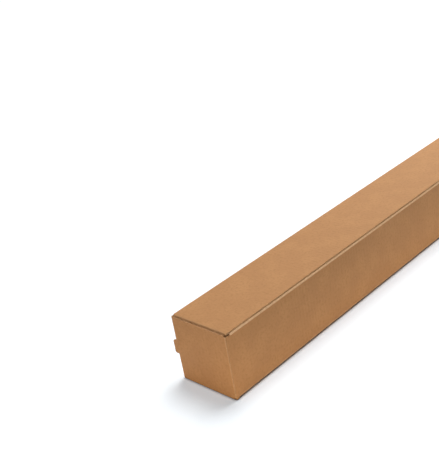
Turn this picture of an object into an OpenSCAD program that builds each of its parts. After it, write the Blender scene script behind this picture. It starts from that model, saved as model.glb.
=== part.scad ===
// Square mailing tube: a long tuck-front mailer folded from one sheet of corrugated board.
// It lies on its back wall. The base is at -X, the front wall on top, the lid at +X.

/* [Tube] */
// Outer width, from the base to the lid
tube_w = 105; // [80:1:160]
// Outer height, from the back wall to the front wall
tube_h = 105; // [92:1:160]
// Outer length over both end walls
tube_l = 880; // [300:5:1200]

/* [Board] */
// Thickness of the corrugated board
board_t = 2.5; // [1.5:0.1:4]
// Inside radius of a folded crease
fold_r = 0.4; // [0.2:0.1:0.7]
// Air left between two plies of an end wall
ply_gap = 0.25; // [0.15:0.05:0.6]

/* [End walls] */
// How far the cut edges of an end panel stay inside the outer faces
end_inset = 1.2; // [0.6:0.1:2]
// Room between the rolled-over plies and the walls beside them
roll_clear = 1.5; // [0.5:0.1:3]
// Depth of a dust flap below its fold
dust_d = 39; // [20:1:42]
// Length of the lock slot along the crease
lock_w = 22; // [12:1:40]
// How far the foot beside the slot stands out from the base
foot_d = 5; // [2:0.5:8]
// Room along the cut edges of the foot, the tab, the plies inside the base and the lid's corners
cut_clear = 0.4; // [0.2:0.1:0.8]

/* [Lid] */
// Gap between the lid and the roll-overs that it closes on
lid_rest = 0.3; // [0.2:0.1:1]
// How far the cut ends of the lid stay inside the end faces
lid_inset = 0.4; // [0.2:0.1:2]
// How far the cut edge of the front wall stops short of the lid's outer face
edge_back = 2.6; // [0:0.1:4]
// Gap between the fold of the tuck flap and the front wall
tuck_gap = 0.6; // [0.5:0.1:1.5]
// Depth of the tuck flap past its fold
tuck_d = 38; // [20:1:45]
// Gap between the tuck flap and the end wall beside it
tuck_side = 0.8; // [0.4:0.1:3]
// Extra lean of the tuck flap past the angle that just swings clear, in degrees
tuck_spare_angle = 1.5; // [1:0.5:6]
// Width of the cut that parts the lid from the tray at its crease
hinge_cut = 0.3; // [0.2:0.05:0.5]

/* [Flap outlines] */
// Radius of the corners of the flaps
flap_r = 9; // [3:0.5:14]
// Taper of the sides of the flaps, in degrees
flap_angle = 8; // [3:1:15]
// Radius of the small corners of the foot, the tab and the inner panel
nip_r = 2; // [1:0.5:3]
// How far a flap's side starts inside the end of its fold
flap_inset = 1.5; // [1:0.25:4]

/* [Hidden] */
$fn = 64;
board_colour = [0.72, 0.56, 0.40];

// Outside radius of every fold
fold_ro = board_t + fold_r;
// Outer panel, dust flap and inner panel with the air between them
end_t = 3 * board_t + 2 * ply_gap;
// Where the walls stop and turn down into their dust flaps
wall_y = board_t + ply_gap + fold_ro;
wall_l = tube_l - 2 * wall_y;
// Outer face of the roll-overs, under the lid
roll_face = tube_w - board_t - lid_rest;
// The rolled-over plies run between the inner faces of the two walls
roll_z = board_t + roll_clear;
roll_h = tube_h - 2 * roll_z;
// The inner panel stops short of the base
inner_x = board_t + cut_clear;
tab_w = lock_w - 2 * cut_clear;
slot_z = (tube_h - lock_w) / 2;
tab_z = (tube_h - tab_w) / 2;
// Lid: its length, the top of its tuck fold and where that fold starts at each end
lid_l = tube_l - 2 * lid_inset;
lid_top = tube_h - board_t - tuck_gap;
tuck_z = lid_top - fold_ro;
tuck_y = end_t + tuck_side;
tuck_l = tube_l - 2 * tuck_y;
// The hinge line lies halfway round the outside of the lid's crease
hinge_in = fold_ro * (1 - cos(45));
half_turn = 45 - asin(hinge_cut / (2 * fold_ro));
// The tuck flap leans in, so that its free edge swings clear of the front wall
tuck_lean = asin(tuck_d / (2 * tuck_z)) + tuck_spare_angle;

// Outline of a flap of width w at its fold and depth d, its free corners rounded
function flap_outline(w, d, taper, r) =
    let (
        corner_u = (r + (d - r) * sin(taper)) / cos(taper),
        round_end = [for (a = [180 - taper : -(90 - taper) / 8 : 89.9])
            [corner_u + r * cos(a), d - r + r * sin(a)]]
    )
    concat(
        [[0, 0]],
        round_end,
        [for (i = [len(round_end) - 1 : -1 : 0]) [w - round_end[i].x, round_end[i].y]],
        [[w, 0]]
    );

// Sheet of an outline in XZ, drawn from the point x, z and as deep as depth along Y
module sheet_xz(x, y, z, depth) {
    translate([x, y + depth, z])
        rotate([90, 0, 0])
            linear_extrude(depth) children();
}

// Strip of board bent round the Z axis, from the angle start through turn
module bend(length, start, turn) {
    rotate([0, 0, start])
        rotate_extrude(angle = turn)
            translate([fold_r, 0])
                square([board_t, length]);
}

// Fold along X: angles run from +Y to +Z
module fold_x(x, y, z, length, start, turn) {
    translate([x, y, z])
        rotate([90, 0, 90])
            bend(length, start, turn);
}

// Fold along Y: angles run from +X to +Z
module fold_y(x, y, z, length, start, turn) {
    translate([x, y + length, z])
        rotate([90, 0, 0])
            bend(length, start, turn);
}

// Fold along Z: angles run from +X to +Y
module fold_z(x, y, z, length, start, turn) {
    translate([x, y, z])
        bend(length, start, turn);
}

// The same at the near end and mirrored at the far end
module both_ends() {
    children();
    translate([0, tube_l, 0])
        mirror([0, 1, 0])
            children();
}

// The same at the back wall and mirrored at the front wall
module both_walls() {
    children();
    translate([0, 0, tube_h])
        mirror([0, 0, 1])
            children();
}

// From the corner of the base, near end and back wall to the middle of the underside
module placed() {
    translate([(foot_d - tube_w) / 2, -tube_l / 2, 0])
        color(board_colour)
            children();
}

// Base with a lock slot at each end
module base_panel() {
    slot_end = end_t + cut_clear;
    difference() {
        translate([0, fold_ro, fold_ro])
            cube([board_t, tube_l - 2 * fold_ro, tube_h - 2 * fold_ro]);
        both_ends()
            translate([-board_t, 0, slot_z])
                cube([3 * board_t, slot_end, lock_w]);
    }
}

// One long wall with the fold that joins it to the base
module wall(width) {
    fold_y(fold_ro, wall_y, fold_ro, wall_l, 180, 90);
    translate([fold_ro, wall_y, 0])
        cube([width - fold_ro, wall_l, board_t]);
}

// Dust flap: a fold across a wall's end and a tapered flap behind the end panel
module dust_flap(width) {
    flap_w = roll_face - board_t - fold_ro - 2 * flap_inset;
    fold_x(fold_ro, wall_y, fold_ro, width - fold_ro, 180, 90);
    sheet_xz(fold_ro + flap_inset, board_t + ply_gap, fold_ro, board_t)
        polygon(flap_outline(flap_w, dust_d - fold_ro, flap_angle, flap_r));
}

// Outer end panel, its crease on the base and the foot that the lock slot leaves
module outer_panel() {
    crease_h = slot_z - end_inset;
    foot_l = foot_d + fold_ro;
    both_walls()
        fold_z(fold_ro, fold_ro, end_inset, crease_h, 180, 90);
    translate([fold_ro, 0, end_inset])
        cube([roll_face - 2 * fold_ro, board_t, tube_h - 2 * end_inset]);
    sheet_xz(fold_ro, 0, tab_z, board_t)
        rotate(90)
            polygon(flap_outline(tab_w, foot_l, 0, nip_r));
}

// Roll-over strip and the inner panel that it carries, with its tab in the lock slot
module rolled_panel() {
    strip_y = end_t - 2 * fold_ro;
    roll_x = roll_face - fold_ro;
    inner_l = roll_x - inner_x;
    fold_z(roll_x, fold_ro, roll_z, roll_h, 270, 90);
    translate([roll_face - board_t, fold_ro, roll_z])
        cube([board_t, strip_y, roll_h]);
    fold_z(roll_x, end_t - fold_ro, roll_z, roll_h, 0, 90);
    sheet_xz(roll_x, end_t - board_t, 0, board_t)
        rotate(90) {
            translate([roll_z, 0])
                polygon(flap_outline(roll_h, inner_l, 0, nip_r));
            translate([tab_z, 0])
                polygon(flap_outline(tab_w, roll_x, 0, nip_r));
        }
}

// The tray's half of the lid's crease, ending at the cut along its middle
module hinge_half() {
    fold_y(tube_w - fold_ro, wall_y, fold_ro, wall_l, 270, half_turn);
}

// The lid's half: the same across the mitre of the two panels
module hinge_half_mirrored() {
    mitre = tube_w - fold_ro;
    translate([mitre, 0, fold_ro])
        mirror([1, 0, 1])
            translate([-mitre, 0, -fold_ro])
                hinge_half();
}

// Lid panel, cut back along its two folds but not at its corners, and the fold of the tuck flap
module lid_panel() {
    half_fold = fold_ro / 2;
    difference() {
        translate([tube_w - board_t, lid_inset, half_fold])
            cube([board_t, lid_l, tuck_z]);
        translate([tube_w - 2 * board_t, wall_y - cut_clear, 0])
            cube([3 * board_t, wall_l + 2 * cut_clear, fold_ro]);
        translate([tube_w - 2 * board_t, tuck_y - cut_clear, tuck_z])
            cube([3 * board_t, tuck_l + 2 * cut_clear, fold_ro]);
    }
    fold_y(tube_w - fold_ro, tuck_y, tuck_z, tuck_l, 0, 90);
}

// Tuck flap: a slab that leans down from the end of its fold, cut to its outline as seen from above
module tuck_flap() {
    along = tuck_d * [-cos(tuck_lean), -sin(tuck_lean)];
    across = board_t * [sin(tuck_lean), -cos(tuck_lean)];
    intersection() {
        sheet_xz(tube_w - fold_ro, tuck_y, lid_top, tuck_l)
            polygon([[0, -board_t], [0, 0], along, along + across]);
        translate([tube_w, tuck_y, tuck_z - tuck_d])
            linear_extrude(2 * tuck_d)
                rotate(90)
                    polygon(flap_outline(tuck_l, fold_ro - along.x, flap_angle, flap_r));
    }
}

module tray() {
    placed() {
        base_panel();
        wall(tube_w - fold_ro);
        translate([0, 0, tube_h])
            mirror([0, 0, 1])
                wall(tube_w - edge_back);
        both_ends() {
            dust_flap(tube_w - fold_ro);
            translate([0, 0, tube_h])
                mirror([0, 0, 1])
                    dust_flap(tube_w - edge_back);
            outer_panel();
            rolled_panel();
        }
        hinge_half();
    }
}

module lid() {
    placed() {
        hinge_half_mirrored();
        lid_panel();
        tuck_flap();
    }
}

tray();
lid();
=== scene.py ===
import math
import bpy
import bmesh
from mathutils import Matrix, Vector, noise
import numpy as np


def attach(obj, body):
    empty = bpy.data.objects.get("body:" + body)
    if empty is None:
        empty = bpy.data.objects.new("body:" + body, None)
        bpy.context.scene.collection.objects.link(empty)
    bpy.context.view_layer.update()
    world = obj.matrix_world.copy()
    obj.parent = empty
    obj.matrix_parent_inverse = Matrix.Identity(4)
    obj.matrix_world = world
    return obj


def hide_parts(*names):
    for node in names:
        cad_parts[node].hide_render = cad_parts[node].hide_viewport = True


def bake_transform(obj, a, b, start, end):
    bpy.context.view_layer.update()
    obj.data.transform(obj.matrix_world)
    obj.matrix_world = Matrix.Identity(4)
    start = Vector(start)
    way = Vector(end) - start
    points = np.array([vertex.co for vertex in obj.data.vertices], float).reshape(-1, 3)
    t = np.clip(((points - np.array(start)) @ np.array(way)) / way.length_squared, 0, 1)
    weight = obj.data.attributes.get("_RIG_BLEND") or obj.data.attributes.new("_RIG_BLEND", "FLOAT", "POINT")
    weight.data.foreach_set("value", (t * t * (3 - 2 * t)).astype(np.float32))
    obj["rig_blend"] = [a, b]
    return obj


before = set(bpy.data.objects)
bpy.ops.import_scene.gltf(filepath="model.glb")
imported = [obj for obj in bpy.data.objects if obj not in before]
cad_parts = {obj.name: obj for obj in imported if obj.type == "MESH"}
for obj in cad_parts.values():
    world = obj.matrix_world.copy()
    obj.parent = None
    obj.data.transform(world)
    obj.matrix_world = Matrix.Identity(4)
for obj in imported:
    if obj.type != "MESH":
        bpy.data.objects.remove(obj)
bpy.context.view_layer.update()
scene = bpy.context.scene
print("frame loaded:", sorted(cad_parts))

# the folded board, in millimetres; x runs from the base to the lid, y along the tube, z up
board = dict(
    width=105.0, height=105.0, length=880.0,
    thick=2.5, foldInside=0.4, plyGap=0.25,
    lidRest=0.06,             # air between the roll-overs and the lid that closes on them
    creaseOut=6.0,            # the lid's soft crease; under 6.5, so that the back wall passes its dust flaps
    foldSteps=8,              # faces round each quarter fold
    foldWearAndHighlight=0.25,            # how pale the paper is painted on a fold: partly crease wear, partly a painted highlight
    wearAndHighlightRise=1.6,             # how soon across the fold it gets that pale
    foldLoop=1.5,             # one more loop this far behind a fold
    firstLoop=34.0,           # loops along the tube: the first from each end
    sideStep=20.0,            # and the spacing of the rest
    midRoom=5.0,              # none this close to the middle
    flutePitch=6.5,
    sharp=0.6,                # edges that turn by more radians than this look sharp
    slack=0.02,               # places this close are the same
    toMiddle=(-50.0, 0.0, 0.0),  # from the base's corner to the middle of the underside
)
wide, high = board["width"], board["height"]
nearY = -board["length"] / 2
thick, slack = board["thick"], board["slack"]
foldOut = thick + board["foldInside"]
endDeep = 3 * thick + 2 * board["plyGap"]
wallY = nearY + thick + board["plyGap"] + foldOut
rollFace = wide - thick - board["lidRest"]
creaseOut, foldLoop = board["creaseOut"], board["foldLoop"]
toMetres = 0.001


class Shade:
    # a shader socket that takes part in Python expressions
    def __init__(self, tree, socket):
        self.tree, self.socket = tree, socket

    def add(self, kind, settings, inputs, out=0):
        node = self.tree.nodes.new(kind)
        for key, value in settings.items():
            setattr(node, key, value)
        for key, value in inputs.items():
            if isinstance(value, Shade):
                self.tree.links.new(value.socket, node.inputs[key])
            else:
                node.inputs[key].default_value = value
        return Shade(self.tree, node.outputs[out])

    def maths(self, operation, a, b):
        return self.add("ShaderNodeMath", {"operation": operation}, {0: a, 1: b})

    def __add__(self, other): return self.maths("ADD", self, other)
    def __radd__(self, other): return self.maths("ADD", other, self)
    def __sub__(self, other): return self.maths("SUBTRACT", self, other)
    def __rsub__(self, other): return self.maths("SUBTRACT", other, self)
    def __mul__(self, other): return self.maths("MULTIPLY", self, other)
    def __rmul__(self, other): return self.maths("MULTIPLY", other, self)

    def rise(self, start, full):  # 0 below start, 1 above full, smooth between
        return self.add("ShaderNodeMapRange", {"interpolation_type": "SMOOTHSTEP"},
                        {"Value": self, "From Min": start, "From Max": full})

    def veil(self, start, full, amount):  # the same, but it rises to amount
        return self.rise(start, full) * amount

    def stretched(self, scale):  # the same coordinates, stretched on each axis
        return self.add("ShaderNodeMapping", {}, {"Vector": self, "Scale": scale})

    def noise(self, scale, detail=3.0, rough=0.55):
        return self.add("ShaderNodeTexNoise", {},
                        {"Vector": self, "Scale": scale, "Detail": detail, "Roughness": rough})

    def mix(self, factor, under, over):  # colour under, with colour over laid on it by factor
        return self.add("ShaderNodeMix", {"data_type": "RGBA"}, {0: factor, 6: under, 7: over}, 2)


def newMaterial(name):
    material = bpy.data.materials.new(name)
    material.use_nodes = True
    tree = material.node_tree
    shader = tree.nodes["Principled BSDF"]
    return material, tree, shader


def layFlat(start):  # where a point is on the sheet laid flat, in metres
    return start.add("ShaderNodeAttribute", {"attribute_name": "flat"}, {}, 1)


def fluteWave(start):  # the flutes along the tube, from -1 to 1
    run = start.add("ShaderNodeSeparateXYZ", {}, {0: layFlat(start)}, 1)
    return start.maths("SINE", run * (2 * math.pi / (board["flutePitch"] * toMetres)), 0.0)


kraft = dict(
    colour=(0.490, 0.233, 0.081, 1), pale=(0.575, 0.288, 0.108, 1), deep=(0.400, 0.181, 0.058, 1),
    # fold: the pale laid on folds, partly crease wear and partly a painted highlight where they catch light
    fold=(0.930, 0.600, 0.340, 1), fleck=(0.235, 0.108, 0.042, 1),
    # where each layer of the paper starts and is full, and how much of its colour it lays on
    cloud=(0.40, 0.66, 0.48), formation=(0.46, 0.70, 0.50),
    fibreAlong=(0.56, 0.74, 0.34), fibreAcross=(0.60, 0.76, 0.26), grain=(0.50, 0.80, 0.20),
    wave=0.05, specks=0.45, rubbedAndHighlit=(0.35, 0.70, 0.30), rubbedAndHighlitLeast=0.65,
    roughness=0.70, gloss=0.45, bump=0.28, relief=0.00012,
)


def kraftMaterial(name):
    material, tree, shader = newMaterial(name)
    start = Shade(tree, None)
    flat = layFlat(start)
    wornAndHighlit = start.add("ShaderNodeAttribute", {"attribute_name": "wornAndHighlit"}, {}, 2)

    cloud = flat.noise(26, 4)                                # slow clouding of the paper
    formation = flat.noise(240, 3)                           # looks through the liner
    fibreAlong = flat.stretched((900, 150, 1)).noise(1, 2)   # fibres lie both ways
    fibreAcross = flat.stretched((260, 800, 1)).noise(1, 2)
    grain = flat.noise(2600, 1)
    specks = start.add("ShaderNodeTexVoronoi", {"feature": "F1"},
                       {"Vector": flat.stretched((1, 0.45, 1)), "Scale": 110.0})
    keepSpeck = flat.noise(75, 0).rise(0.60, 0.68)           # only some of the specks
    wave = fluteWave(start)

    deep, pale = kraft["deep"], kraft["pale"]
    colour = start.mix(cloud.veil(*kraft["cloud"]), kraft["colour"], pale)
    colour = start.mix(formation.veil(*kraft["formation"]), colour, deep)
    colour = start.mix(fibreAlong.veil(*kraft["fibreAlong"]), colour, pale)
    colour = start.mix(fibreAcross.veil(*kraft["fibreAcross"]), colour, deep)
    colour = start.mix(grain.veil(*kraft["grain"]), colour, deep)
    colour = start.mix((wave * 0.5 + 0.5) * kraft["wave"], colour, deep)
    colour = start.mix((1 - specks.rise(0.030, 0.075)) * keepSpeck * kraft["specks"], colour, kraft["fleck"])
    # folds painted paler by their wear attribute: partly crease wear, partly a painted highlight
    rubbedAndHighlit = wornAndHighlit * (kraft["rubbedAndHighlitLeast"] + formation.veil(*kraft["rubbedAndHighlit"]))
    colour = start.mix(rubbedAndHighlit, colour, kraft["fold"])
    tree.links.new(colour.socket, shader.inputs["Base Color"])

    rough = kraft["roughness"] + cloud * 0.06 - fibreAlong * 0.05 + wornAndHighlit * 0.05
    tree.links.new(rough.socket, shader.inputs["Roughness"])
    height = wave * 0.9 + formation * 0.5 + fibreAlong * 0.45 + fibreAcross * 0.3 + grain * 0.15
    bump = start.add("ShaderNodeBump", {},
                     {"Height": height, "Strength": kraft["bump"], "Distance": kraft["relief"]})
    tree.links.new(bump.socket, shader.inputs["Normal"])
    shader.inputs["Specular IOR Level"].default_value = kraft["gloss"]
    return material


rawEdge = dict(
    colour=(0.540, 0.300, 0.140, 1), pale=(0.720, 0.450, 0.245, 1), smudge=(0.360, 0.190, 0.082, 1),
    # smudge also serves as the painted shade of the flute hollows, which the flutes entry lays on in waves
    nap=(0.42, 0.70, 0.60), smudged=(0.50, 0.72, 0.30), flutes=(-0.2, 1.0, 0.10),
    roughness=0.92, gloss=0.2, bump=0.5, relief=0.0002,
)


def rawEdgeMaterial(name):
    material, tree, shader = newMaterial(name)
    start = Shade(tree, None)
    place = start.add("ShaderNodeTexCoord", {}, {}, 3)
    nap = place.noise(1500, 2)      # torn fibres on the cut
    smudge = place.noise(160, 3)
    flutes = fluteWave(start)       # painted shade of the flute hollows, in waves along the cut
    colour = start.mix(nap.veil(*rawEdge["nap"]), rawEdge["colour"], rawEdge["pale"])
    colour = start.mix(smudge.veil(*rawEdge["smudged"]), colour, rawEdge["smudge"])
    colour = start.mix(flutes.veil(*rawEdge["flutes"]), colour, rawEdge["smudge"])
    tree.links.new(colour.socket, shader.inputs["Base Color"])
    tree.links.new((rawEdge["roughness"] - nap * 0.08).socket, shader.inputs["Roughness"])
    bump = start.add("ShaderNodeBump", {}, {"Height": nap + smudge * 0.4, "Strength": rawEdge["bump"],
                                            "Distance": rawEdge["relief"]})
    tree.links.new(bump.socket, shader.inputs["Normal"])
    shader.inputs["Specular IOR Level"].default_value = rawEdge["gloss"]
    return material


liner = kraftMaterial("kraftLiner")
cutEdge = rawEdgeMaterial("cutEdge")
print("materials made")


def newSheet():
    bm = bmesh.new()
    bm.verts.layers.float_vector.new("flat")
    bm.verts.layers.float.new("wornAndHighlit")
    return bm


def startRow(bm, a, b, girth):  # the first edge of a sheet; flat takes the girth and the run
    flat = bm.verts.layers.float_vector["flat"]
    ends = [bm.verts.new(a), bm.verts.new(b)]
    for v in ends:
        v[flat] = Vector((girth, v.co.y, 0))
    return [bm.edges.new(ends)]


def grow(bm, edges, move, flatStep, wearAndHighlight=0.0):  # one more loop of board from a row of edges
    flat, wornAndHighlit = bm.verts.layers.float_vector["flat"], bm.verts.layers.float["wornAndHighlit"]
    made = bmesh.ops.extrude_edge_only(bm, edges=edges)["geom"]
    fresh = [g for g in made if isinstance(g, bmesh.types.BMVert)]
    move(fresh)
    for v in fresh:
        v[flat] = v[flat] + flatStep
        v[wornAndHighlit] = wearAndHighlight
    fresh = set(fresh)
    return [g for g in made if isinstance(g, bmesh.types.BMEdge) and set(g.verts) <= fresh]


def runFlat(bm, edges, way, stops, flatWay):  # flat board, with a loop at each stop
    done = 0.0
    for stop in stops:
        step = stop - done
        edges = grow(bm, edges, lambda vs: bmesh.ops.translate(bm, verts=vs, vec=Vector(way) * step),
                     Vector(flatWay) * step)
        done = stop
    return edges


def runFold(bm, edges, centre, axis, degrees, flatWay,
            wearAndHighlight=board["foldWearAndHighlight"], steps=board["foldSteps"], radius=foldOut):
    turn = math.radians(degrees) / steps
    for i in range(steps):
        across = math.sin(math.pi * (i + 1) / steps)  # 0 at both ends of the fold
        # each loop round the fold is painted paler, partly as crease wear and partly as a painted highlight
        edges = grow(bm, edges,
                     lambda vs: bmesh.ops.rotate(bm, verts=vs, cent=Vector(centre),
                                                 matrix=Matrix.Rotation(turn, 3, axis)),
                     Vector(flatWay) * abs(turn) * radius, wearAndHighlight * min(1.0, board["wearAndHighlightRise"] * across))
    return edges


def cutAcross(bm, places):  # loops round the sheet at these places along the tube
    for y in places:
        geom = bm.verts[:] + bm.edges[:] + bm.faces[:]
        bmesh.ops.bisect_plane(bm, geom=geom, dist=1e-4, plane_co=(0, y, 0), plane_no=(0, 1, 0))


def rowWhere(bm, test):  # the free edges whose two ends pass the test
    return [e for e in bm.edges if len(e.link_faces) < 2 and all(test(v.co) for v in e.verts)]


def near(a, b):
    return abs(a - b) < slack


def between(value, least, most):
    return least - slack < value < most + slack


def vertsOf(edges):  # each once, in their order
    return list(dict.fromkeys(v for e in edges for v in e.verts))


def rowBetween(edges, axis, least, most):  # the part of a row between two places on an axis
    return [e for e in edges if all(between(v.co[axis], least, most) for v in e.verts)]


def roundCorners(bm, edges, test, size, steps=5):  # rounds the corners of a flap's free row
    corners = [v for v in vertsOf(edges) if test(v.co)]
    bmesh.ops.bevel(bm, geom=corners, offset=size, offset_type="OFFSET", segments=steps,
                    profile=0.5, affect="VERTICES", material=-1)


def mirrorAlong(bm, outward):  # the far half, then all faces outwards
    bmesh.ops.mirror(bm, geom=bm.verts[:] + bm.edges[:] + bm.faces[:], matrix=Matrix.Identity(4),
                     merge_dist=0.01, axis="Y")
    flat = bm.verts.layers.float_vector["flat"]
    for v in bm.verts:
        if v.co.y > slack:
            v[flat] = Vector((v[flat].x, -v[flat].y, 0))
    bmesh.ops.recalc_face_normals(bm, faces=bm.faces[:])
    lead = max(bm.faces, key=lambda f: f.calc_center_median().dot(outward) + 0.001 * f.calc_area())
    if lead.normal.dot(outward) < 0:
        bmesh.ops.reverse_faces(bm, faces=bm.faces[:])


def thicken(bm, name):  # board thickness to the inside, with the cut edges in the second material
    mesh = bpy.data.meshes.new(name + "Sheet")
    bm.to_mesh(mesh)
    mesh.materials.append(liner)
    mesh.materials.append(cutEdge)
    sheet = bpy.data.objects.new(name + "Sheet", mesh)
    scene.collection.objects.link(sheet)
    solid = sheet.modifiers.new("thickness", "SOLIDIFY")
    solid.thickness, solid.offset = thick, -1.0
    solid.use_even_offset = solid.use_quality_normals = True
    solid.material_offset_rim = 1
    made = bpy.data.meshes.new_from_object(sheet.evaluated_get(bpy.context.evaluated_depsgraph_get()))
    bm.clear()
    bm.from_mesh(made)
    bpy.data.objects.remove(sheet)
    bpy.data.meshes.remove(mesh)
    bpy.data.meshes.remove(made)


flute = dict(
    skin=0.50, deep=0.6,         # the liners left at the edge, and how deep the hollow between them is
    paper=0.30, step=0.62,       # the wave's paper and the length of its faces
    sunk=0.15, clear=0.2,        # the wave starts below the cut and stops above the hollow's floor
    shortest=4.0,                # no wave on a shorter edge
    slant=1.3,                   # an edge that runs less than this much along the tube shows no flutes
    draft=0.01,                  # how far the hollow's sides lean in
)


def openFlutes(bm, closed):  # hollows the cut edges that cross the flutes and lays the wave in them
    flat = bm.verts.layers.float_vector["flat"]
    wave = newSheet()
    waveFlat = wave.verts.layers.float_vector["flat"]
    across, inward = (wave.verts.layers.float_vector.new(n) for n in ("across", "inward"))
    hollow = []
    for face in bm.faces:
        if face.material_index != 1 or len(face.verts) != 4 or closed(face.calc_center_median()):
            continue
        sides = [e for e in face.edges if any(f.material_index == 0 for f in e.link_faces)]
        if len(sides) != 2:
            continue
        a, b = sides[0].verts
        change = a[flat] - b[flat]
        if abs(change.y) < flute["slant"] * abs(change.x):
            continue  # this edge runs along the flutes
        hollow.append(face)
        if sides[0].calc_length() < flute["shortest"]:
            continue
        ends = []
        for v in (a, b):
            partner = next(e.other_vert(v) for e in face.edges if v in e.verts and e is not sides[0])
            w = wave.verts.new((v.co + partner.co) / 2)
            w[waveFlat], w[across], w[inward] = v[flat], (v.co - partner.co) / 2, -face.normal
            ends.append(w)
        edge = wave.edges.new(ends)
        bmesh.ops.bisect_edges(wave, edges=[edge], cuts=max(1, round(edge.calc_length() / flute["step"])))
    bmesh.ops.remove_doubles(wave, verts=wave.verts[:], dist=0.001)
    swing = 1 - 2 * flute["skin"] / thick
    for v in wave.verts:
        phase = 2 * math.pi * v[waveFlat].y / board["flutePitch"]
        v.co += v[across] * swing * math.sin(phase) + v[inward] * flute["sunk"]
    made = bmesh.ops.extrude_edge_only(wave, edges=wave.edges[:])["geom"]
    for v in made:
        if isinstance(v, bmesh.types.BMVert):
            v.co += v[inward] * (flute["deep"] - flute["clear"])
    bmesh.ops.recalc_face_normals(wave, faces=wave.faces[:])
    bmesh.ops.solidify(wave, geom=wave.faces[:], thickness=flute["paper"])
    bmesh.ops.inset_region(bm, faces=hollow, use_boundary=True, use_even_offset=True, thickness=flute["skin"])
    bmesh.ops.inset_region(bm, faces=hollow, use_boundary=True, use_even_offset=True,
                           thickness=flute["draft"], depth=-flute["deep"])
    for face in wave.faces:
        face.material_index = 1
    mesh = bpy.data.meshes.new("flutes")
    wave.to_mesh(mesh)
    wave.free()
    bm.from_mesh(mesh)
    bpy.data.meshes.remove(mesh)


def tighten(bm, axis, centre, first, second, radius):  # a sharper outer corner on a fold
    centre, first, second = Vector(centre), Vector(first), Vector(second)
    line = Vector((axis == "X", axis == "Y", axis == "Z"))
    for v in bm.verts:
        arm = v.co - centre
        arm -= line * arm.dot(line)
        if near(arm.length, foldOut) and arm.dot(first) > -slack and arm.dot(second) > -slack:
            v.co += (foldOut - radius) * (first + second) + arm * (radius / foldOut - 1)


def finishBoard(bm, name):  # to metres and the part's own frame, as an object at the origin
    flat = bm.verts.layers.float_vector["flat"]
    for v in bm.verts:
        v[flat] = v[flat] * toMetres
    bmesh.ops.translate(bm, verts=bm.verts[:], vec=board["toMiddle"])
    bmesh.ops.scale(bm, verts=bm.verts[:], vec=(toMetres, toMetres, toMetres))
    for face in bm.faces:
        face.smooth = True
    for edge in bm.edges:
        edge.smooth = len(edge.link_faces) == 2 and edge.calc_face_angle(0.0) < board["sharp"]
    mesh = bpy.data.meshes.new(name)
    bm.to_mesh(mesh)
    bm.free()
    mesh.materials.append(liner)
    mesh.materials.append(cutEdge)
    piece = bpy.data.objects.new(name, mesh)
    scene.collection.objects.link(piece)
    print(name, len(mesh.polygons), "faces")
    return piece


def alongTube(first):  # where the loops along the near half go
    places = list(first)
    y = nearY + board["firstLoop"]
    while y < -board["midRoom"]:
        places.append(y)
        y += board["sideStep"]
    return places


def slow(y, seed, size=130.0):  # a slow unevenness along the tube, from -1 to 1
    return noise.noise(Vector((y / size, seed, 0.37)))


def awayFromEnds(y):  # 0 at the ends, where the board is held straight
    return 1 - min(1.0, abs(y) / -nearY) ** 10


def share(value, least, most):  # how far a value is on its way from least to most, from 0 to 1
    return min(1.0, max(0.0, (value - least) / (most - least)))


tray = dict(
    inset=2.0, lowInset=0.8,  # the end panel's cut edges stay inside the faces, above and below
    rollZ=4.0, slotZ=41.5, tabZ=41.9, foot=5.0, clear=0.4, dust=39.0, taper=8.0,
    flapRound=7.8, nipRound=2.0, flapInset=1.5,
    edgeBack=2.0,             # the front wall stops short of the lid's face
    rollRadius=0.5,           # the outer corner where the end rolls over, pressed flat by the lid
    wallLoops=(20, 37, 52.5, 68, 85), baseLoops=(17, 29), panelLoops=(17, 33, 50, 66, 82),
    bow=0.45, uneven=0.22, spread=0.4,  # how far the walls bow and stray, and the front wall's edge lifts
    arch=0.3, archUneven=0.2,           # how far the wall below rises off the floor
)


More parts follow.
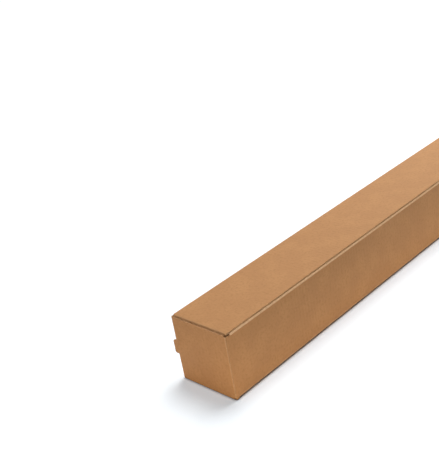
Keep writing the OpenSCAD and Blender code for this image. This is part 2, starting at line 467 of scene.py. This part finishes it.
def makeTray():
    bm = newSheet()
    along, back = (1, 0, 0), (0, -1, 0)
    flapX = [foldOut + tray["flapInset"], rollFace - thick - tray["flapInset"]]
    crossX = [flapX[0], *tray["wallLoops"], flapX[1]]
    slotTop, tabTop = high - tray["slotZ"], high - tray["tabZ"]
    lowZ = [tray["rollZ"], *tray["baseLoops"], tray["slotZ"], tray["tabZ"]]
    baseZ = lowZ + [high / 2] + [high - z for z in reversed(lowZ)]

    # front wall, base and back wall, from the front wall's free edge round
    edgeX = wide - tray["edgeBack"]
    row = startRow(bm, (edgeX, wallY, high), (edgeX, 0, high), 0)
    row = runFlat(bm, row, (-1, 0, 0), [edgeX - x for x in reversed(crossX)] + [edgeX - foldOut], along)
    row = runFold(bm, row, (foldOut, 0, high - foldOut), "Y", -90, along)
    row = runFlat(bm, row, (0, 0, -1),
                  [high - foldOut - z for z in reversed(baseZ)] + [high - 2 * foldOut], along)
    row = runFold(bm, row, (foldOut, 0, foldOut), "Y", -90, along)
    runFlat(bm, row, (1, 0, 0), [x - foldOut for x in crossX] + [wide - creaseOut - foldOut], along)
    slotY = nearY + endDeep + tray["clear"]
    cutAcross(bm, alongTube([slotY]))

    # the lock slot in the base
    slot = []
    for face in bm.faces:
        middle = face.calc_center_median()
        if middle.x < slack and middle.y < slotY and tray["slotZ"] < middle.z < slotTop:
            slot.append(face)
    bmesh.ops.delete(bm, geom=slot, context="FACES")

    # dust flaps on the ends of the two walls
    for level, side, turn in ((high, -1, 90), (0.0, 1, -90)):
        row = rowWhere(bm, lambda c: near(c.y, wallY) and near(c.z, level) and c.x > foldOut - slack)
        row = runFold(bm, row, (0, wallY, level + side * foldOut), "X", turn, back)
        row = rowBetween(row, 0, *flapX)
        deep = tray["dust"] - foldOut
        row = runFlat(bm, row, (0, 0, side), [foldLoop, deep], back)
        lean = math.tan(math.radians(tray["taper"])) * deep
        for v in vertsOf(row):
            v.co.x += lean if near(v.co.x, flapX[0]) else -lean if near(v.co.x, flapX[1]) else 0
        ends = (flapX[0] + lean, flapX[1] - lean)
        roundCorners(bm, row, lambda c: near(c.x, ends[0]) or near(c.x, ends[1]), tray["flapRound"])

    # outer end panel, folded up from the base on both sides of the slot
    row = rowWhere(bm, lambda c: near(c.y, wallY) and near(c.x, 0) and between(c.z, foldOut, high - foldOut))
    row = runFlat(bm, row, (0, -1, 0), [wallY - nearY - foldOut], back)
    for v in vertsOf(row):
        if near(v.co.z, foldOut):
            v.co.z = tray["lowInset"]
        elif near(v.co.z, high - foldOut):
            v.co.z = high - tray["inset"]
    row = runFold(bm, row, (foldOut, nearY + foldOut, 0), "Z", 90, back)
    flat = bm.verts.layers.float_vector["flat"]
    lower = next(v for v in vertsOf(row) if near(v.co.z, tray["slotZ"]))
    upper = next(v for v in vertsOf(row) if near(v.co.z, slotTop))
    chain = [lower]
    for z in (tray["tabZ"], high / 2, tabTop):
        v = bm.verts.new((foldOut, nearY, z))
        v[flat] = Vector((lower[flat].x - (z - tray["slotZ"]), lower[flat].y, 0))
        chain.append(v)
    chain.append(upper)
    overSlot = [bm.edges.new(pair) for pair in zip(chain, chain[1:])]
    footRow = overSlot[1:3]
    rollX = rollFace - foldOut
    panelEnd = rollX - foldOut
    row = runFlat(bm, row + overSlot, (1, 0, 0),
                  [foldLoop, *tray["panelLoops"], panelEnd - foldLoop, panelEnd], back)

    def tabCorner(c):
        return near(c.z, tray["tabZ"]) or near(c.z, tabTop)

    # the foot that the slot leaves on the end panel
    footRow = runFlat(bm, footRow, (-1, 0, 0), [foldOut + tray["foot"]], (0, 1, 0))
    roundCorners(bm, footRow, tabCorner, tray["nipRound"])

    # roll-over and inner panel, with its tab in the slot
    rollTop = high - tray["rollZ"]
    row = rowBetween(row, 2, tray["rollZ"], rollTop)
    row = runFold(bm, row, (rollX, nearY + foldOut, 0), "Z", 90, back)
    row = runFlat(bm, row, (0, 1, 0), [endDeep - 2 * foldOut], back)
    row = runFold(bm, row, (rollX, nearY + endDeep - foldOut, 0), "Z", 90, back)
    reach = rollX - thick - tray["clear"]
    row = runFlat(bm, row, (-1, 0, 0), [foldLoop, *tray["panelLoops"], reach], back)
    tabRow = rowBetween(row, 2, tray["tabZ"], tabTop)
    tabRow = runFlat(bm, tabRow, (-1, 0, 0), [thick + tray["clear"]], back)
    roundCorners(bm, tabRow, tabCorner, tray["nipRound"])
    roundCorners(bm, row, lambda c: near(c.z, tray["rollZ"]) or near(c.z, rollTop), tray["nipRound"])

    mirrorAlong(bm, Vector((0, 0, 1)))
    thicken(bm, "trayBoard")
    for side in (-1, 1):
        tighten(bm, "Z", (rollX, side * (-nearY - foldOut), 0), (1, 0, 0), (0, side, 0), tray["rollRadius"])

    def closed(c):
        onCrease = near(c.x, wide - creaseOut) and c.z < thick + 0.1 and abs(c.y) < -wallY
        onFrontEdge = near(c.x, edgeX) and c.z > high - thick - 0.1  # pressed shut where the lid tucks in
        onSlot = c.x < foldOut + 0.5 and abs(c.z - high / 2) < high / 2 - tray["slotZ"] + 0.5
        return onCrease or onFrontEdge or onSlot
    openFlutes(bm, closed)

    # the walls bow out a little and stray along their length; the one below arches off the floor
    for v in bm.verts:
        x, y, z = v.co
        still = awayFromEnds(y)
        if z > high - foldOut - 0.01:
            u = share(x, foldOut, wide - foldOut)
            stray = tray["uneven"] * u * (tray["spread"] + slow(y, 2.1))
            v.co.z += still * (tray["bow"] * math.sin(math.pi * u) + stray)
        elif x < foldOut + 0.01:
            w = share(z, foldOut, high - foldOut)
            v.co.x -= still * math.sin(math.pi * w) * (tray["bow"] + tray["uneven"] * slow(y, 5.3))
        elif z < foldOut + 0.01:
            u = share(x, foldOut, wide - creaseOut)
            v.co.z += still * math.sin(math.pi * u) * (tray["arch"] + tray["archUneven"] * abs(slow(y, 7.7)))
    return finishBoard(bm, "trayBoard")


lid = dict(
    inset=0.4, clear=0.4,    # its cut ends stay inside the end faces, and the room beside its folds
    tuckTop=102.4, tuckSide=0.8, tuck=38.0, lean=12.56, taper=8.0, flapRound=7.8,
    # the tuck fold is painted full pale: mostly a painted highlight along the seam, with some crease wear
    tuckWear=1.0, bow=0.40, uneven=0.25, loops=(20, 36, 52, 68, 84),
    girth=312.6,             # where it starts on the sheet laid flat
)


def makeLid():
    bm = newSheet()
    along = (1, 0, 0)
    endY = nearY + lid["inset"]
    tuckZ = lid["tuckTop"] - foldOut
    tuckY = nearY + endDeep + lid["tuckSide"]
    taper = math.tan(math.radians(lid["taper"])) * lid["tuck"]

    corner = foldOut / 2
    row = startRow(bm, (wide, endY, corner), (wide, 0, corner), lid["girth"])
    levels = (creaseOut, *lid["loops"], tuckZ - foldLoop, tuckZ, tuckZ + corner)
    runFlat(bm, row, (0, 0, 1), [z - corner for z in levels], along)
    creaseEnd, tuckEnd = wallY - lid["clear"], tuckY - lid["clear"]
    cutAcross(bm, alongTube([creaseEnd, wallY, tuckEnd, tuckY]))
    strips = []  # cut back along both folds, but not at the corners
    for face in bm.faces:
        middle = face.calc_center_median()
        if (middle.z < creaseOut and middle.y > creaseEnd) or (middle.z > tuckZ and middle.y > tuckEnd):
            strips.append(face)
    bmesh.ops.delete(bm, geom=strips, context="FACES")

    # tuck flap along the lid's free edge, leaning in
    row = rowWhere(bm, lambda c: near(c.z, tuckZ) and near(c.x, wide) and c.y > tuckY - slack)
    row = runFold(bm, row, (wide - foldOut, 0, tuckZ), "Y", -90 - lid["lean"], along, lid["tuckWear"],
                  board["foldSteps"] + 1)
    angle = math.radians(lid["lean"])
    reach = lid["tuck"] - angle * foldOut
    row = runFlat(bm, row, (-math.cos(angle), 0, -math.sin(angle)), [foldLoop, reach], along)
    for v in vertsOf(row):
        v.co.y += taper if near(v.co.y, tuckY) else 0
    roundCorners(bm, row, lambda c: near(c.y, tuckY + taper), lid["flapRound"])

    mirrorAlong(bm, Vector((1, 0, 0)))
    thicken(bm, "lidBoard")
    openFlutes(bm, lambda c: near(c.z, creaseOut) and abs(c.y) < -wallY + 1)  # closed along the crease
    for v in bm.verts:
        if v.co.x > wide - foldOut - 0.01:
            w = share(v.co.z, creaseOut, tuckZ)
            still = awayFromEnds(v.co.y)
            v.co.x += still * math.sin(math.pi * w) * (lid["bow"] + lid["uneven"] * slow(v.co.y, 9.4))
    return finishBoard(bm, "lidBoard")


# the crease strip is painted half pale: a painted highlight along the bottom edge, with some crease wear
crease = dict(wearAndHighlight=0.5, steps=14, girth=306.3)


def makeCrease():  # the strip of board round the lid's crease
    bm = newSheet()
    startX = wide - creaseOut
    row = startRow(bm, (startX, wallY, 0), (startX, 0, 0), crease["girth"])
    runFold(bm, row, (startX, 0, creaseOut), "Y", -90, (1, 0, 0), crease["wearAndHighlight"], crease["steps"], creaseOut)
    cutAcross(bm, alongTube([]))
    mirrorAlong(bm, Vector((1, 0, -1)))
    thicken(bm, "creaseStrip")
    return finishBoard(bm, "creaseStrip")


trayBoard = makeTray()
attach(trayBoard, "tray")
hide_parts("tray")
lidBoard = makeLid()
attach(lidBoard, "lid")
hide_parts("lid")
creaseStrip = makeCrease()
creaseX = (wide - foldOut + board["toMiddle"][0]) * toMetres
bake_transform(creaseStrip, "tray", "lid",
         start=(creaseX + 0.00125, 0, 0.00125), end=(creaseX + 0.00165, 0, 0.00165))
print("board pieces made")


studio = dict(
    world=0.10, tint=(1.0, 0.985, 0.965, 1),
    floor=(0.80, 0.82, 0.84, 1), floorSize=12, floorRoughness=0.9,
    lift=(0.36, 0.40, 0.43, 1),   # makes the floor paler to look at, but gives no light
    reach=0.010,                  # the lift fades this close to the board, painting contact shade on the floor
    fade=(0.36, 0.74),            # none where the floor is less open than the first, full at the second
    # each sun: strength, softness in degrees, colour, the way its light comes from
    suns=dict(back=(2.45, 32, (1.0, 1.0, 1.0), (-0.14, 0.70, 1.60)),
              front=(0.20, 70, (1.0, 0.93, 0.85), (-0.25, -1.0, 0.45))),
    # each panel: watts, length, width, colour, where it stands, what it faces
    panels=dict(behind=(3.5, 2.5, 1.2, (1.0, 1.0, 1.0), (-1.3, 1.8, 0.9), (0.0, 0.0, 0.1)),
                far=(1.35, 0.5, 0.5, (1.0, 0.93, 0.76), (-0.25, 0.70, 0.60), (-0.05, 0.42, 0.1)),
                beside=(0.295, 0.14, 1.0, (1.0, 0.86, 0.64), (0.1275, -0.15, 0.0006), (0.1275, -0.15, 1.0)),
                before=(0.24, 0.45, 0.25, (1.0, 0.80, 0.55), (0.05, -0.5655, 0.0006), (0.05, -0.5655, 1.0))),
)


def seenRays(tree):  # 1 for the rays that show the background, 0 for the light it gives
    start = Shade(tree, None)
    camera, glossy, through = (start.add("ShaderNodeLightPath", {}, {}, "Is %s Ray" % kind)
                               for kind in ("Camera", "Glossy", "Transmission"))
    return camera + glossy + through


def makeFloor():
    bm = bmesh.new()
    bmesh.ops.create_grid(bm, x_segments=1, y_segments=1, size=studio["floorSize"])
    mesh = bpy.data.meshes.new("floor")
    bm.to_mesh(mesh)
    bm.free()
    floor = bpy.data.objects.new("floor", mesh)
    scene.collection.objects.link(floor)
    material, tree, shader = newMaterial("paleFloor")
    shader.inputs["Base Color"].default_value = studio["floor"]
    shader.inputs["Roughness"].default_value = studio["floorRoughness"]
    shader.inputs["Specular IOR Level"].default_value = 0.0
    shader.inputs["Emission Strength"].default_value = 1.0
    seen = seenRays(tree)
    # the lift is cut back where the board hems the floor in: painted contact shadow
    clear = seen.add("ShaderNodeAmbientOcclusion", {"samples": 12}, {"Distance": studio["reach"]}, 1)
    lift = seen.mix(seen * clear.rise(*studio["fade"]), (0, 0, 0, 1), studio["lift"])
    tree.links.new(lift.socket, shader.inputs["Emission Color"])
    mesh.materials.append(material)


def makeWorld():
    world = bpy.data.worlds.new("studio")
    scene.world = world
    world.use_nodes = True
    tree = world.node_tree
    lit = tree.nodes["Background"]
    lit.inputs["Color"].default_value, lit.inputs["Strength"].default_value = studio["tint"], studio["world"]
    white = tree.nodes.new("ShaderNodeBackground")
    white.inputs["Color"].default_value = (1, 1, 1, 1)
    either = tree.nodes.new("ShaderNodeMixShader")
    tree.links.new(seenRays(tree).socket, either.inputs[0])
    tree.links.new(lit.outputs[0], either.inputs[1])
    tree.links.new(white.outputs[0], either.inputs[2])
    tree.links.new(either.outputs[0], tree.nodes["World Output"].inputs[0])


def addLamp(lamp, place, way):
    holder = bpy.data.objects.new(lamp.name, lamp)
    holder.location = place
    holder.rotation_euler = way.to_track_quat("-Z", "Y").to_euler()
    scene.collection.objects.link(holder)
    return holder


def makeLamps():
    for name, (strength, soft, colour, source) in studio["suns"].items():
        lamp = bpy.data.lights.new(name, "SUN")
        lamp.energy, lamp.angle, lamp.color = strength, math.radians(soft), colour
        addLamp(lamp, (0, 0, 0), -Vector(source))
    for name, (watts, length, width, colour, place, goal) in studio["panels"].items():
        lamp = bpy.data.lights.new(name, "AREA")
        lamp.shape, lamp.size, lamp.size_y = "RECTANGLE", length, width
        lamp.energy, lamp.color = watts, colour
        addLamp(lamp, place, Vector(goal) - Vector(place)).visible_camera = False


view = dict(at=(0.76657, -1.06000, 0.69525), turn=(64.1398, 9.4003, 43.42), lens=64.5586, sensor=36.0)


def makeCamera():
    lens = bpy.data.cameras.new("camera")
    lens.lens, lens.sensor_width, lens.sensor_fit = view["lens"], view["sensor"], "AUTO"
    lens.clip_start = 0.01
    camera = bpy.data.objects.new("camera", lens)
    camera.location = view["at"]
    camera.rotation_euler = [math.radians(a) for a in view["turn"]]
    scene.collection.objects.link(camera)
    scene.camera = camera


makeFloor()
makeWorld()
makeLamps()
makeCamera()
scene.view_settings.view_transform = "Standard"
print("studio and camera made")

bpy.context.view_layer.update()
